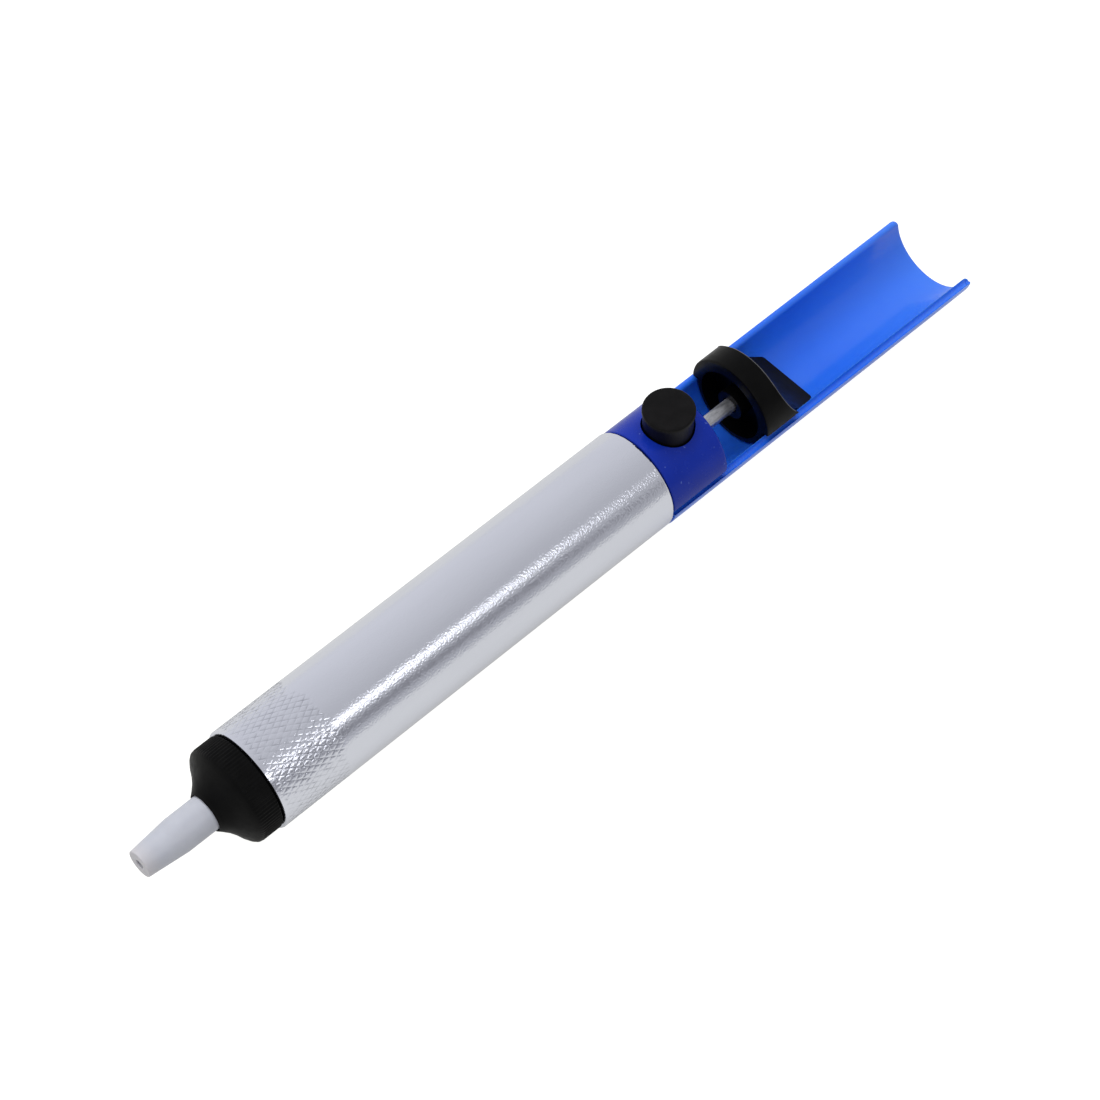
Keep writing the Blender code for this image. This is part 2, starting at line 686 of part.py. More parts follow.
button = turned("button", [
    (BUTTON_RISE, 0),
    (BUTTON_RISE, BUTTON_R - CAP_ROUND),
    (BUTTON_RISE - 0.3 * CAP_ROUND, BUTTON_R - 0.3 * CAP_ROUND),
    (BUTTON_RISE - CAP_ROUND, BUTTON_R),
    (BUTTON_RISE - BUTTON_CAP, BUTTON_R),
    (BUTTON_RISE - BUTTON_CAP, BUTTON_SHAFT_R),
    (BUTTON_FOOT, BUTTON_SHAFT_R),
    (BUTTON_FOOT, 0),
], button_body, black_plastic, axis="Z", steps=36, closed=False)
cut(button, cutter_box("rod_window", button_body,
                       (-2 * BUTTON_R, -WINDOW_HALF, PLATE_TOP - GAP),
                       (2 * BUTTON_R, WINDOW_HALF, WINDOW_TOP)))
cut(button, cutter_box("plate_slot", button_body,
                       (-PLATE_THICK / 2 - SLOT_GAP, -PLATE_HALF - SLOT_GAP, PLATE_FOOT - PAST),
                       (PLATE_THICK / 2 + SLOT_GAP, PLATE_HALF + SLOT_GAP, PLATE_TOP + GAP)))

plate_outline = [
    (-PLATE_THICK / 2, PLATE_FOOT),
    (PLATE_THICK / 2, PLATE_FOOT),
    (PLATE_THICK / 2, PLATE_TOP),
    (-PLATE_THICK / 2, PLATE_TOP),
]
extruded("latch_plate", plate_outline, "XZ", -PLATE_HALF, PLATE_HALF, button_body, steel)

BUTTON_SPRING_R = BUTTON_SHAFT_R - 1.2
BUTTON_SPRING_WIRE_R = 0.2
SPRING_END_GAP = 0.1
button_seat = body_empty("button_spring_seat", BUTTON_X, frame_body)
coil("button_spring", BUTTON_FLOOR + SPRING_END_GAP,
     BUTTON_FOOT - BUTTON_FLOOR - 2 * SPRING_END_GAP, BUTTON_SPRING_R, BUTTON_SPRING_WIRE_R, 2.5,
     button_seat, steel, "Z")
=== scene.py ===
# %% [markdown]
# # A desoldering pump
# A desoldering pump is a small hand tool that sucks molten solder off a joint. The owner pushes the
# plunger in until it latches, holds the nozzle to the hot solder and presses the round button.
# This lesson dresses the pump's engineering model. Every new piece is placed by the boxes of the
# engineering nodes, so nothing has to be fitted by eye.

# %% Load the engineering model
from math import asin, atan2, cos, degrees, hypot, pi, radians, sin, sqrt, tan

import bmesh
import bpy
from mathutils import Matrix, Vector, noise


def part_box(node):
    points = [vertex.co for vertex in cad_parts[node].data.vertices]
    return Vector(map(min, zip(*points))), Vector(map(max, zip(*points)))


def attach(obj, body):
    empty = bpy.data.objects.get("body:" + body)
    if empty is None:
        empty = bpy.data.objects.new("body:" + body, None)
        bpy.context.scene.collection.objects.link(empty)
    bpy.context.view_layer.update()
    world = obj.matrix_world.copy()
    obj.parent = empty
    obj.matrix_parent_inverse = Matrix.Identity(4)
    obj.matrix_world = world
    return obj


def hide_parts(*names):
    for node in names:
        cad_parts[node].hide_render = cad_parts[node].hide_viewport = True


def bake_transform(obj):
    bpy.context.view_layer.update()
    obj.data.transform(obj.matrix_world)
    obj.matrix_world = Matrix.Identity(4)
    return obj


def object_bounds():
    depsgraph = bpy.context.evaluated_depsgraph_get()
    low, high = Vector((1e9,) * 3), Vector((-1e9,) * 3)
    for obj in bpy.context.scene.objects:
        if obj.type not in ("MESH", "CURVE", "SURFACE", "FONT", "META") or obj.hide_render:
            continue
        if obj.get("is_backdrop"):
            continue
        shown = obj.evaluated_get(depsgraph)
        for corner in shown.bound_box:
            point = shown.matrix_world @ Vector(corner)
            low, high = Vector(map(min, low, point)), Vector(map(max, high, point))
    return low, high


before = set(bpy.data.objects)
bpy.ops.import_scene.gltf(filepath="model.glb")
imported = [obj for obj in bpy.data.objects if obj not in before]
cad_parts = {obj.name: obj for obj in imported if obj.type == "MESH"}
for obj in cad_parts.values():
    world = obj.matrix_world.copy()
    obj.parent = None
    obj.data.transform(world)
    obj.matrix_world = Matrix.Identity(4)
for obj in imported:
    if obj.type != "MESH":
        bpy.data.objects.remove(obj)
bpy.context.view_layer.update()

MM = 0.001

# %% [markdown]
# The pump is a row of turned parts on one axis, so two numbers place nearly everything: how far
# along a point is from the barrel's front rim, and how far it is from the barrel's axis. The
# functions here give an engineering node's box in those terms, in millimetres.

# %% Measure from the barrel's front rim and axis
barrel_low, barrel_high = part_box("barrel")
FRONT = barrel_low.x
AXIS = (barrel_low.z + barrel_high.z) / 2


def spot(along, across, up):
    """A point in metres, from millimetres along, across and above the barrel's axis."""
    return Vector((FRONT + along * MM, across * MM, AXIS + up * MM))


def reach(node):
    """Where a node starts and ends along the axis, and its radius, in millimetres."""
    low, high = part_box(node)
    return (low.x - FRONT) / MM, (high.x - FRONT) / MM, (high.y - low.y) / 2 / MM


BARREL_LENGTH = reach("barrel")[1]
BARREL_R = reach("barrel")[2]
print(f"barrel {BARREL_LENGTH:.1f} mm long, {2 * BARREL_R:.1f} mm across, axis {AXIS / MM:.2f} mm up")

# %% [markdown]
# The camera comes early, because every judgement about looks is made through it. It is a long
# lens a little over half a metre away, which keeps the pump's sides almost parallel.

# %% Camera
SENSOR_WIDTH = 36
LENS_LENGTH = 111.273
CAMERA_PLACE = (-0.23630, -0.23919, 0.50573)
LOOKS_ALONG = (0.38983, 0.39919, -0.82986)
LEVEL_LINE = (0.72643, -0.68716, 0.01069)

scene = bpy.context.scene
lens = bpy.data.cameras.new("camera")
lens.sensor_width = SENSOR_WIDTH
lens.lens = LENS_LENGTH
camera = bpy.data.objects.new("camera", lens)
forward = Vector(LOOKS_ALONG).normalized()
right = Vector(LEVEL_LINE).normalized()
above = right.cross(forward).normalized()
right = forward.cross(above)
turn = Matrix((right, above, -forward)).transposed()
camera.matrix_world = turn.to_4x4()
camera.location = CAMERA_PLACE
scene.collection.objects.link(camera)
scene.camera = camera
print("camera looks along", tuple(round(part, 3) for part in forward))

# %% [markdown]
# The floor is one wide pale sheet that glows a little, like a light table, so shadows stay faint.
# It glows more strongly for the camera alone, which keeps the background white.

# %% Floor
scene.view_settings.view_transform = "Standard"
FLOOR_SIZE = 3.0
FLOOR_GLOW = 0.40
FLOOR_GLOW_SEEN = 0.55


def floor_material():
    made = bpy.data.materials.new("pale_floor")
    made.use_nodes = True
    surface = made.node_tree.nodes["Principled BSDF"]
    surface.inputs["Base Color"].default_value = (0.30, 0.30, 0.29, 1)
    surface.inputs["Roughness"].default_value = 0.9
    surface.inputs["Specular IOR Level"].default_value = 0.0
    surface.inputs["Emission Color"].default_value = (1, 1, 0.98, 1)
    path = made.node_tree.nodes.new("ShaderNodeLightPath")
    glow = made.node_tree.nodes.new("ShaderNodeMath")
    glow.operation = "MULTIPLY_ADD"
    glow.inputs[1].default_value = FLOOR_GLOW_SEEN
    glow.inputs[2].default_value = FLOOR_GLOW
    made.node_tree.links.new(path.outputs["Is Camera Ray"], glow.inputs[0])
    made.node_tree.links.new(glow.outputs["Value"], surface.inputs["Emission Strength"])
    return made


sheet = bmesh.new()
bmesh.ops.create_grid(sheet, x_segments=1, y_segments=1, size=FLOOR_SIZE)
floor_mesh = bpy.data.meshes.new("floor")
sheet.to_mesh(floor_mesh)
sheet.free()
floor = bpy.data.objects.new("floor", floor_mesh)
floor_mesh.materials.append(floor_material())
scene.collection.objects.link(floor)
floor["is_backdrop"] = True
print("floor glows", FLOOR_GLOW, "and", FLOOR_GLOW + FLOOR_GLOW_SEEN, "to the camera")

# %% [markdown]
# The sky is a shade brighter on the far side, which gives the tube its slow change of tone, and a
# little brighter again at the near horizon, where the tube's lower part looks. The sky's own
# direction drives both: its y runs from -1 on the near side to 1 on the far side.

# %% Sky
NEAR_SIDE_LIGHT, FAR_SIDE_LIGHT = 0.45, 0.75
HORIZON_LIGHT = 0.15
HORIZON_STARTS, HORIZON_FULL = -0.93, -0.98

world = bpy.data.worlds.new("studio")
scene.world = world
world.use_nodes = True
sky = world.node_tree
sky.nodes["Background"].inputs["Color"].default_value = (0.955, 0.96, 1.0, 1)
way = sky.nodes.new("ShaderNodeTexCoord")
parts = sky.nodes.new("ShaderNodeSeparateXYZ")
side_light = sky.nodes.new("ShaderNodeMapRange")
side_light.inputs["From Min"].default_value = -1.0
side_light.inputs["To Min"].default_value = NEAR_SIDE_LIGHT
side_light.inputs["To Max"].default_value = FAR_SIDE_LIGHT
horizon_light = sky.nodes.new("ShaderNodeMapRange")
horizon_light.inputs["From Min"].default_value = HORIZON_STARTS
horizon_light.inputs["From Max"].default_value = HORIZON_FULL
horizon_light.inputs["To Max"].default_value = HORIZON_LIGHT
both = sky.nodes.new("ShaderNodeMath")
sky.links.new(way.outputs["Generated"], parts.inputs["Vector"])
sky.links.new(parts.outputs["Y"], side_light.inputs["Value"])
sky.links.new(parts.outputs["Y"], horizon_light.inputs["Value"])
sky.links.new(side_light.outputs["Result"], both.inputs[0])
sky.links.new(horizon_light.outputs["Result"], both.inputs[1])
sky.links.new(both.outputs["Value"], sky.nodes["Background"].inputs["Strength"])
print("sky strength from", NEAR_SIDE_LIGHT, "to", FAR_SIDE_LIGHT)

# %% [markdown]
# One long lamp draws the bright line that runs down the barrel. It ends where the line fades, near
# the barrel's rear. A broad lamp overhead fills the shadows, and the metal doesn't reflect it. A
# dark card beside the long lamp gives the metal something dark to reflect, as is usual in lighting
# a shiny tube. Lamp and card are aimed at the pump's axis from some angle round it.

# %% Lamps and the dark card
STAND_OFF = 0.6
LAMP_LENGTH, LAMP_WIDTH = 0.62, 0.13
LAMP_END, LAMP_ANGLE, LAMP_POWER = 0.235, 134, 0.31
CARD_LENGTH, CARD_WIDTH = 0.90, 0.145
CARD_END, CARD_ANGLE = 0.280, 158
CARD_SHADE = (0.30, 0.30, 0.32)
FILL_SIZE, FILL_PLACE, FILL_POWER = (1.4, 1.0), (0, 0.45, 1.25), 12


def aimed(made, place, aim):
    """Put an object at a place, with its own -Z, where a lamp shines, towards a point."""
    way = (Vector(aim) - Vector(place)).normalized()
    side = Vector((1, 0, 0))
    side = (side - way * side.dot(way)).normalized()
    made.matrix_world = Matrix((side, (-way).cross(side), -way)).transposed().to_4x4()
    made.location = place
    scene.collection.objects.link(made)
    return made


def panel(name, size, place, aim, power):
    """A soft rectangular lamp at a place, aimed at a point."""
    lamp = bpy.data.lights.new(name, "AREA")
    lamp.shape = "RECTANGLE"
    lamp.size, lamp.size_y = size
    lamp.energy = power
    return aimed(bpy.data.objects.new(name, lamp), place, aim)


def card(name, size, place, aim, shade):
    """A matt card that the metal reflects. It casts no shadow."""
    sheet = bmesh.new()
    bmesh.ops.create_grid(sheet, x_segments=1, y_segments=1, size=0.5)
    bmesh.ops.scale(sheet, vec=(size[0], size[1], 1), verts=sheet.verts)
    mesh = bpy.data.meshes.new(name)
    sheet.to_mesh(mesh)
    sheet.free()
    made = aimed(bpy.data.objects.new(name, mesh), place, aim)
    matt = bpy.data.materials.new(name)
    matt.use_nodes = True
    matt.node_tree.nodes["Principled BSDF"].inputs["Base Color"].default_value = (*shade, 1)
    matt.node_tree.nodes["Principled BSDF"].inputs["Roughness"].default_value = 1.0
    mesh.materials.append(matt)
    made.visible_camera = False
    made.visible_shadow = False
    made.visible_diffuse = False
    made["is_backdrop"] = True


def round_the_axis(angle, along):
    """A place beside the pump, at an angle round its axis: 0 level at +Y and 90 overhead."""
    swing = radians(angle)
    return Vector((along, STAND_OFF * cos(swing), AXIS + STAND_OFF * sin(swing)))


lamp_middle = LAMP_END - LAMP_LENGTH / 2
card_middle = CARD_END - CARD_LENGTH / 2
panel("long_lamp", (LAMP_LENGTH, LAMP_WIDTH), round_the_axis(LAMP_ANGLE, lamp_middle),
      (lamp_middle, 0, AXIS), LAMP_POWER)
panel("overhead", FILL_SIZE, FILL_PLACE, (0, 0, 0), FILL_POWER).visible_glossy = False
card("dark_card", (CARD_LENGTH, CARD_WIDTH), round_the_axis(CARD_ANGLE, card_middle),
     (card_middle, 0, AXIS), CARD_SHADE)
print("two lamps and a dark card")

# %% [markdown]
# ## Finishes
# Each finish starts from the Principled surface. Colour, roughness and a fine bump are varied by
# noise in object coordinates, which here are metres, so a noise scale of 3000 gives specks about a
# third of a millimetre wide. Small helpers keep the node wiring readable.

# %% Helpers for finishes
NOISE_LOW, NOISE_HIGH = 0.35, 0.65


def finish(name, colour, roughness, **sockets):
    """A Principled surface, with its plain values set on its own sockets."""
    made = bpy.data.materials.new(name)
    made.use_nodes = True
    surface = made.node_tree.nodes["Principled BSDF"]
    surface.inputs["Base Color"].default_value = (*colour, 1)
    surface.inputs["Roughness"].default_value = roughness
    for socket, value in sockets.items():
        surface.inputs[socket.replace("_", " ")].default_value = value
    return made


def speckle(made, scale, stretch=(1, 1, 1), detail=3.0):
    """Noise over the object's own coordinates. Stretch below 1 draws it out along an axis."""
    tree = made.node_tree
    place = tree.nodes.new("ShaderNodeTexCoord")
    lay = tree.nodes.new("ShaderNodeMapping")
    lay.inputs["Scale"].default_value = stretch
    made_noise = tree.nodes.new("ShaderNodeTexNoise")
    made_noise.inputs["Scale"].default_value = scale
    made_noise.inputs["Detail"].default_value = detail
    tree.links.new(place.outputs["Object"], lay.inputs["Vector"])
    tree.links.new(lay.outputs["Vector"], made_noise.inputs["Vector"])
    return made_noise.outputs["Fac"]


def remapped(made, value, low, high, to_low, to_high):
    """The value moved from one range to another and clamped there."""
    change = made.node_tree.nodes.new("ShaderNodeMapRange")
    change.inputs["From Min"].default_value = low
    change.inputs["From Max"].default_value = high
    change.inputs["To Min"].default_value = to_low
    change.inputs["To Max"].default_value = to_high
    made.node_tree.links.new(value, change.inputs["Value"])
    return change.outputs["Result"]


def roughened(made, value, smooth, rough):
    """Let a noise vary the roughness between two values."""
    surface = made.node_tree.nodes["Principled BSDF"]
    change = remapped(made, value, NOISE_LOW, NOISE_HIGH, smooth, rough)
    made.node_tree.links.new(change, surface.inputs["Roughness"])


def tinted(made, value, first, second):
    """Let a noise blend the colour between two shades."""
    tree = made.node_tree
    blend = tree.nodes.new("ShaderNodeMix")
    blend.data_type = "RGBA"
    blend.inputs["A"].default_value = (*first, 1)
    blend.inputs["B"].default_value = (*second, 1)
    tree.links.new(remapped(made, value, NOISE_LOW, NOISE_HIGH, 0, 1), blend.inputs["Factor"])
    tree.links.new(blend.outputs["Result"], tree.nodes["Principled BSDF"].inputs["Base Color"])
    return blend.outputs["Result"]


def overlaid(made, under, colour, share):
    """Lay a colour over the one that is there, by a share that varies over the surface."""
    tree = made.node_tree
    blend = tree.nodes.new("ShaderNodeMix")
    blend.data_type = "RGBA"
    blend.inputs["B"].default_value = (*colour, 1)
    tree.links.new(under, blend.inputs["A"])
    tree.links.new(share, blend.inputs["Factor"])
    tree.links.new(blend.outputs["Result"], tree.nodes["Principled BSDF"].inputs["Base Color"])


def own_x(made):
    """The object's own x coordinate, in metres, for a blend that runs along the pump."""
    place = made.node_tree.nodes.new("ShaderNodeTexCoord")
    split = made.node_tree.nodes.new("ShaderNodeSeparateXYZ")
    made.node_tree.links.new(place.outputs["Object"], split.inputs["Vector"])
    return split.outputs["X"]


def bumped(made, value, height):
    """Raise the surface by a noise, by a height in millimetres."""
    tree = made.node_tree
    bump = tree.nodes.new("ShaderNodeBump")
    bump.inputs["Distance"].default_value = height * MM
    tree.links.new(value, bump.inputs["Height"])
    tree.links.new(bump.outputs["Normal"], tree.nodes["Principled BSDF"].inputs["Normal"])


print("finish helpers ready")

# %% [markdown]
# The barrel is drawn aluminium tube with a thin satin lacquer. Drawn tube isn't mirror smooth: fine
# grain breaks the bright line into sparks, and faint streaks run along it. The knurl's grooves get
# painted shade: the metal is painted darker where the barrel's own "pressed" attribute is high.

# %% Satin aluminium
aluminium = finish("satin_aluminium", (0.79, 0.808, 0.885), 0.14, Metallic=1.0)
roughened(aluminium, speckle(aluminium, 1300), 0.10, 0.18)
streaks = speckle(aluminium, 160, stretch=(0.15, 1, 1))
streaked = tinted(aluminium, streaks, (0.775, 0.793, 0.870), (0.805, 0.823, 0.900))
bumped(aluminium, speckle(aluminium, 2900, detail=1.0), 0.035)
# Painted shade: the metal is painted darker where the knurl's grooves are deep, for the shade that falls in
# them.
pressed = aluminium.node_tree.nodes.new("ShaderNodeAttribute")
pressed.attribute_name = "pressed"
groove_shade = remapped(aluminium, pressed.outputs["Fac"], 0.2, 1.0, 0.0, 0.75)
overlaid(aluminium, streaked, (0.34, 0.35, 0.40), groove_shade)
print("aluminium ready")

# %% [markdown]
# The nose, the knob and the button are black moulded plastic. A pure black would look like a hole,
# so the colour stays a little above black, and a fine moulding texture softens the reflections.

# %% Black plastics
LIGHTER = 1.8


def black_plastic(name, colour, smooth, rough, texture, shine):
    made = finish(name, colour, rough, Specular_IOR_Level=shine)
    lighter = tuple(part * LIGHTER for part in colour)
    tinted(made, speckle(made, 420), colour, lighter)
    roughened(made, speckle(made, 700), smooth, rough)
    bumped(made, speckle(made, 2200), texture)
    return made


nose_black = black_plastic("nose_black", (0.0014, 0.0014, 0.0014), 0.36, 0.48, 0.006, 0.085)
knob_black = black_plastic("knob_black", (0.0011, 0.0011, 0.0011), 0.30, 0.42, 0.003, 0.085)
button_black = black_plastic("button_black", (0.0024, 0.0022, 0.0023), 0.34, 0.44, 0.003, 0.13)

# %% [markdown]
# The nozzle is PTFE, which is waxy: light goes in and comes out a little further on. The tip has a
# faint brown tint from hot flux. Its blend follows the object's own x coordinate.

# %% White nozzle plastic
ptfe = finish("nozzle_white", (0.49, 0.50, 0.56), 0.38, Subsurface_Weight=0.25, Subsurface_Scale=0.001)
ptfe.node_tree.nodes["Principled BSDF"].inputs["Subsurface Radius"].default_value = (1.0, 0.9, 0.8)
soil = tinted(ptfe, speckle(ptfe, 300), (0.475, 0.490, 0.545), (0.505, 0.520, 0.575))
tip_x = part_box("nozzle")[0].x
near_tip = remapped(ptfe, own_x(ptfe), tip_x + 3 * MM, tip_x, 0.0, 0.8)
overlaid(ptfe, soil, (0.56, 0.54, 0.56), near_tip)
bumped(ptfe, speckle(ptfe, 1500), 0.006)
print("nozzle plastic warms over the last 3 mm")

# %% [markdown]
# The collar and the guard are the same blue plastic. The collar is thick, so it looks deep, while
# the guard is thin and lets some light through, which makes it glow.

# %% Blue plastics
collar_blue = finish("collar_blue", (0.006, 0.026, 0.33), 0.22, Specular_IOR_Level=0.16)
shade = tinted(collar_blue, speckle(collar_blue, 120), (0.005, 0.024, 0.31), (0.006, 0.028, 0.35))
dust = remapped(collar_blue, speckle(collar_blue, 1500, detail=0.0), 0.825, 0.86, 0.0, 0.7)
overlaid(collar_blue, shade, (0.10, 0.16, 0.50), dust)
roughened(collar_blue, speckle(collar_blue, 900), 0.16, 0.28)
bumped(collar_blue, speckle(collar_blue, 500), 0.002)

guard_blue = finish("guard_blue", (0.02, 0.145, 0.76), 0.26, Subsurface_Weight=0.2,
                    Subsurface_Scale=0.0012, Specular_IOR_Level=0.32, Coat_Weight=0.2,
                    Coat_Roughness=0.15, Sheen_Weight=0.3, Sheen_Roughness=0.2)
guard_blue.node_tree.nodes["Principled BSDF"].inputs["Subsurface Radius"].default_value = (0.3, 0.6, 1.0)
hue = tinted(guard_blue, speckle(guard_blue, 60), (0.019, 0.142, 0.75), (0.021, 0.148, 0.77))
# Painted light: over the guard's last 30 mm its colour is painted lighter, for the light that shines
# through the thin wall near its end.
guard_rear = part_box("guard")[1].x
painted_rear_glow = remapped(guard_blue, own_x(guard_blue), guard_rear - 30 * MM, guard_rear, 0.0, 1.0)
overlaid(guard_blue, hue, (0.05, 0.20, 0.82), painted_rear_glow)
roughened(guard_blue, speckle(guard_blue, 300, detail=1.0), 0.25, 0.27)
bumped(guard_blue, speckle(guard_blue, 150, detail=0.0), 0.0006)
print("two blues ready")

# %% [markdown]
# The parts inside are steel, brass, rubber and nylon. They show when the nose is pulled off, so each
# gets a finish of its own too.

# %% Metals, rubber and nylon for the inner parts
rod_steel = finish("rod_steel", (0.60, 0.61, 0.64), 0.40, Metallic=0.9)
roughened(rod_steel, speckle(rod_steel, 1500, stretch=(0.3, 1, 1)), 0.28, 0.48)
tinted(rod_steel, speckle(rod_steel, 1900, stretch=(0.4, 1, 1)), (0.48, 0.49, 0.52), (0.72, 0.73, 0.76))
bumped(rod_steel, speckle(rod_steel, 4000, stretch=(0.05, 1, 1)), 0.003)

spring_steel = finish("spring_steel", (0.52, 0.53, 0.55), 0.28, Metallic=1.0)
roughened(spring_steel, speckle(spring_steel, 1200), 0.20, 0.40)
bumped(spring_steel, speckle(spring_steel, 5000), 0.003)

brass = finish("bush_brass", (0.72, 0.50, 0.19), 0.26, Metallic=1.0)
tinted(brass, speckle(brass, 500), (0.66, 0.44, 0.16), (0.76, 0.55, 0.23))
roughened(brass, speckle(brass, 1400), 0.20, 0.38)

rubber = finish("seal_rubber", (0.018, 0.018, 0.019), 0.6)
roughened(rubber, speckle(rubber, 900), 0.48, 0.72)
bumped(rubber, speckle(rubber, 2500), 0.008)

nylon = finish("piston_nylon", (0.72, 0.69, 0.58), 0.42, Subsurface_Weight=0.15, Subsurface_Scale=0.001)
tinted(nylon, speckle(nylon, 350), (0.68, 0.65, 0.54), (0.76, 0.73, 0.63))
roughened(nylon, speckle(nylon, 1000), 0.36, 0.50)
print(len(bpy.data.materials), "materials in the file")

# %% [markdown]
# ## Turning on a lathe
# Nearly every part is turned, and `bmesh.ops.spin` is Blender's lathe: it sweeps a wire round an
# axis. The full turn merges its last copy with its first. A bevel then rounds the edges that a
# tool would have left, and the weighted-normal modifier keeps wide faces evenly lit beside them.

# %% Lathe, bevel and piece helpers
SHARP_ANGLE = 38


def outline_wire(points, axis, closed):
    """A wire through (along, radius) points in millimetres."""
    bm = bmesh.new()
    verts = []
    for along, radius in points:
        place = spot(along, 0, radius) if axis == "X" else spot(BUTTON_X + radius, 0, along)
        verts.append(bm.verts.new(place))
    for first, second in zip(verts, verts[1:]):
        bm.edges.new((first, second))
    if closed:
        bm.edges.new((verts[-1], verts[0]))
    return bm


def creased(bm):
    """Mark the corners sharp, so that smooth shading doesn't run round them."""
    for edge in bm.edges:
        if len(edge.link_faces) == 2 and degrees(edge.calc_face_angle(0)) > SHARP_ANGLE:
            edge.smooth = False
    return bm


def turned(points, steps=128, axis="X", closed=True):
    """Spin an outline right round the pump's axis, or round the button's."""
    bm = outline_wire(points, axis, closed)
    centre = spot(0, 0, 0) if axis == "X" else spot(BUTTON_X, 0, 0)
    bmesh.ops.spin(bm, geom=bm.verts[:] + bm.edges[:], cent=centre,
                   axis=(1, 0, 0) if axis == "X" else (0, 0, 1), dvec=(0, 0, 0),
                   angle=2 * pi, steps=steps, use_merge=True, use_duplicate=False)
    bmesh.ops.remove_doubles(bm, verts=bm.verts, dist=1e-7)
    bmesh.ops.recalc_face_normals(bm, faces=bm.faces)
    return creased(bm)


def softened(bm, width, segments=3, least=25, chosen=None):
    """Round the edges that turn by more than some degrees."""
    sharp = [edge for edge in bm.edges if len(edge.link_faces) == 2
             and degrees(edge.calc_face_angle(0)) > least and (chosen is None or chosen(edge))]
    bmesh.ops.bevel(bm, geom=sharp, offset=width * MM, offset_type="OFFSET", segments=segments,
                    profile=0.5, affect="EDGES", clamp_overlap=True, material=-1)
    return bm


def piece(name, bm, body, surface, stands_for):
    """Make the mesh an object that rides on a body and stands for engineering nodes."""
    mesh = bpy.data.meshes.new(name)
    bm.to_mesh(mesh)
    bm.free()
    mesh.materials.append(surface)
    mesh.polygons.foreach_set("use_smooth", [True] * len(mesh.polygons))
    made = bpy.data.objects.new(name, mesh)
    scene.collection.objects.link(made)
    made.modifiers.new("even_light", "WEIGHTED_NORMAL").keep_sharp = True
    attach(made, body)
    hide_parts(*stands_for)
    print(name, len(mesh.polygons), "faces")


BUTTON_X = (reach("button")[0] + reach("button")[1]) / 2
print(f"the button stands {BUTTON_X:.2f} mm behind the front rim")

# %% [markdown]
# ## The barrel and its knurl
# A knurling wheel presses crossed grooves into the tube and leaves rows of small diamonds to grip
# by. A bump map would do from far off, but real grooves catch the light at every angle. The tube is
# spun from a wire that has many points under the knurl, then each point is pressed in where a
# groove passes. The two sets of grooves lean 30 degrees either way from the axis.

# %% Spin the tube
KNURL_STARTS = 52
KNURL_PER_START = 10
KNURL_LEAN = radians(30)
KNURL_DEPTH = 0.09
LAND_ROUNDING = 0.022
KNURL_END = 15.6
BORE_R = BARREL_R - 0.8
row = 2 * pi * BARREL_R / KNURL_STARTS / tan(KNURL_LEAN) / KNURL_PER_START
rows = int(KNURL_END / row)
grip = [(0.3 + row * number, BARREL_R) for number in range(rows + 1)]
tube = turned([(0, BORE_R), (0, BARREL_R - 0.28), (0.08, BARREL_R - 0.08)] + grip
              + [(BARREL_LENGTH - 0.4, BARREL_R), (BARREL_LENGTH - 0.12, BARREL_R - 0.06),
                 (BARREL_LENGTH, BARREL_R - 0.25), (BARREL_LENGTH, BORE_R)],
              steps=KNURL_STARTS * KNURL_PER_START)
print(rows, "rows of points under the knurl")

# %% Press the knurl in


def groove(phase):
    """How deep a groove is at a phase of its pitch, and how far the land beside it falls away."""
    away = abs((phase + 0.5) % 1.0 - 0.5)
    return max(0.0, 1.0 - away / 0.13), (1.0 - 2.0 * away) ** 2


pressed_in = tube.verts.layers.float.new("pressed")
for vert in tube.verts:
    along = (vert.co.x - FRONT) / MM
    up, across = vert.co.z - AXIS, vert.co.y
    radius = hypot(across, up)
    if radius < (BORE_R + 0.3) * MM:
        continue
    angle = atan2(up, across)
    rub = noise.noise(Vector((along * 0.25, cos(angle) * 2.2, sin(angle) * 2.2)))
    press = 0.0
    if 0.5 < along < KNURL_END:
        shift = along * tan(KNURL_LEAN) / BARREL_R * KNURL_STARTS / (2 * pi)
        turn_part = angle * KNURL_STARTS / (2 * pi)
        one_way, other_way = groove(turn_part + shift), groove(turn_part - shift)
        deep = max(one_way[0], other_way[0])
        fade = min(1.0, (along - 0.5) / 0.5, max(0.0, (14.9 + 1.2 * rub - along) / 0.9))
        wear = noise.noise(Vector((along * 1.1, cos(angle) * 9, sin(angle) * 9)))
        held = fade * max(0.1, 0.85 + 0.35 * rub + 0.8 * wear)
        press = KNURL_DEPTH * deep * held + LAND_ROUNDING * max(one_way[1], other_way[1]) * fade
        vert[pressed_in] = deep * held
    elif along > BARREL_LENGTH - 0.35:
        nibble = noise.noise(Vector((along, cos(angle) * 18, sin(angle) * 18)))
        press = 0.05 + 0.05 * nibble
    radius -= press * MM
    vert.co.y, vert.co.z = radius * cos(angle), AXIS + radius * sin(angle)
piece("barrel_tube", tube, "frame", aluminium, ["barrel"])

# %% [markdown]
# ## The nose
# The nose plugs the barrel's front and holds the nozzle. Its rim has fine flutes to pull it by, its
# shoulder is rounded, and the front falls away in a slightly hollow cone.

